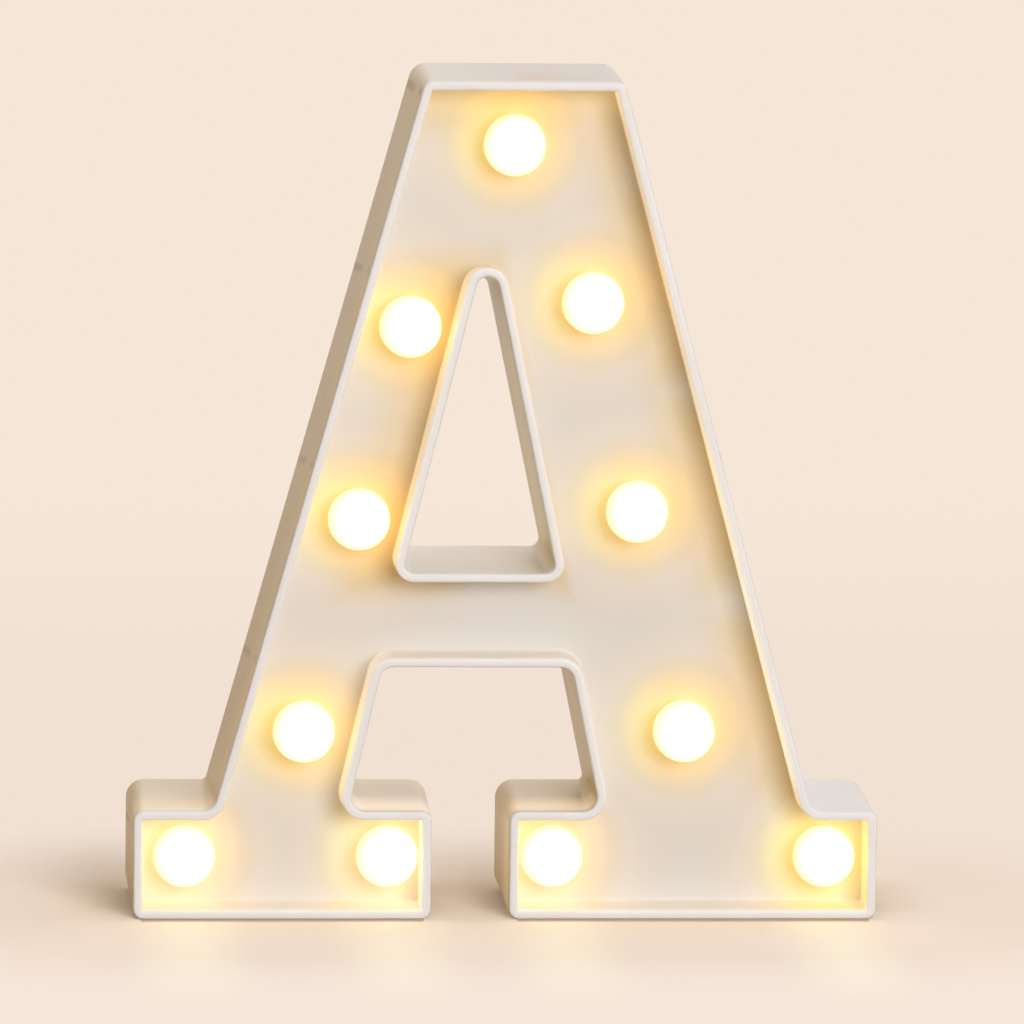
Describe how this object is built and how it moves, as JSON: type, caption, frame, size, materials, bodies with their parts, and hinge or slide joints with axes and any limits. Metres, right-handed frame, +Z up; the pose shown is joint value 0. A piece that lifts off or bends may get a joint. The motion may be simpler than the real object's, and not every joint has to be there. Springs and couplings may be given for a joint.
{
  "type": "light-up letter",
  "caption": "Free-standing capital A with a recessed face of round lamps in globes, rear cover, battery compartment with a tilting door and a slide switch.",
  "frame": {"origin": "on the floor, under the middle of the whole object's box", "axes": "+X to the right as the lit face is read, +Y to the back, +Z up"},
  "size_m": [0.197, 0.0472, 0.221],
  "materials": {
    "shell_plastic": "white injection moulded ABS, soft gloss",
    "cover_plastic": "white injection moulded ABS, fine matt",
    "frosted_globe": "frosted milky plastic, lit from inside",
    "lamp_epoxy": "warm white lamp, clear epoxy",
    "red_sleeve": "red wire insulation",
    "black_sleeve": "black wire insulation",
    "zinc_steel": "zinc plated",
    "nickel_strip": "nickel plated strip and spring wire",
    "cell_sleeve": "shrink sleeve",
    "dark_plastic": "black moulded plastic"
  },
  "bodies": {
    "case": {"front_shell": "shell_plastic", "rear_cover": "cover_plastic", "globe_heel_left": "frosted_globe", "globe_toe_left": "frosted_globe", "globe_leg_left": "frosted_globe", "globe_mid_left": "frosted_globe", "globe_high_left": "frosted_globe", "globe_top": "frosted_globe", "globe_high_right": "frosted_globe", "globe_mid_right": "frosted_globe", "globe_leg_right": "frosted_globe", "globe_toe_right": "frosted_globe", "globe_heel_right": "frosted_globe", "led_heel_left": "lamp_epoxy", "led_toe_left": "lamp_epoxy", "led_leg_left": "lamp_epoxy", "led_mid_left": "lamp_epoxy", "led_high_left": "lamp_epoxy", "led_top": "lamp_epoxy", "led_high_right": "lamp_epoxy", "led_mid_right": "lamp_epoxy", "led_leg_right": "lamp_epoxy", "led_toe_right": "lamp_epoxy", "led_heel_right": "lamp_epoxy", "lamp_wire_red": "red_sleeve", "lamp_wire_black": "black_sleeve", "left_foot_wire_red": "red_sleeve", "left_foot_wire_black": "black_sleeve", "right_foot_wire_red": "red_sleeve", "right_foot_wire_black": "black_sleeve", "positive_wire": "red_sleeve", "switched_wire": "red_sleeve", "negative_wire": "black_sleeve", "cover_screw_1": "zinc_steel", "cover_screw_2": "zinc_steel", "cover_screw_3": "zinc_steel", "cover_screw_4": "zinc_steel", "cover_screw_5": "zinc_steel", "cover_screw_6": "zinc_steel", "cover_screw_7": "zinc_steel", "cover_screw_8": "zinc_steel", "cover_screw_9": "zinc_steel", "cover_screw_10": "zinc_steel", "cover_screw_11": "zinc_steel", "battery_1": "cell_sleeve", "battery_2": "cell_sleeve", "bridge_contact": "nickel_strip", "positive_contact": "nickel_strip", "negative_contact": "nickel_strip", "switch_frame": "zinc_steel", "switch_base": "dark_plastic", "switch_screw_1": "zinc_steel", "switch_screw_2": "zinc_steel"},
    "door": {"battery_door": "cover_plastic"},
    "slider": {"switch_slider": "dark_plastic"}
  },
  "joints": [
    {"name": "door_tilt", "type": "hinge", "parent": "case", "child": "door", "pos_m": [0.04664, 0.0216, 0.0104], "axis": [-1, 0, 0], "range_deg": [0, 45]},
    {"name": "switch_slide", "type": "slide", "parent": "case", "child": "slider", "axis": [-1, 0, 0], "range_m": [0, 0.0025]}
  ]
}
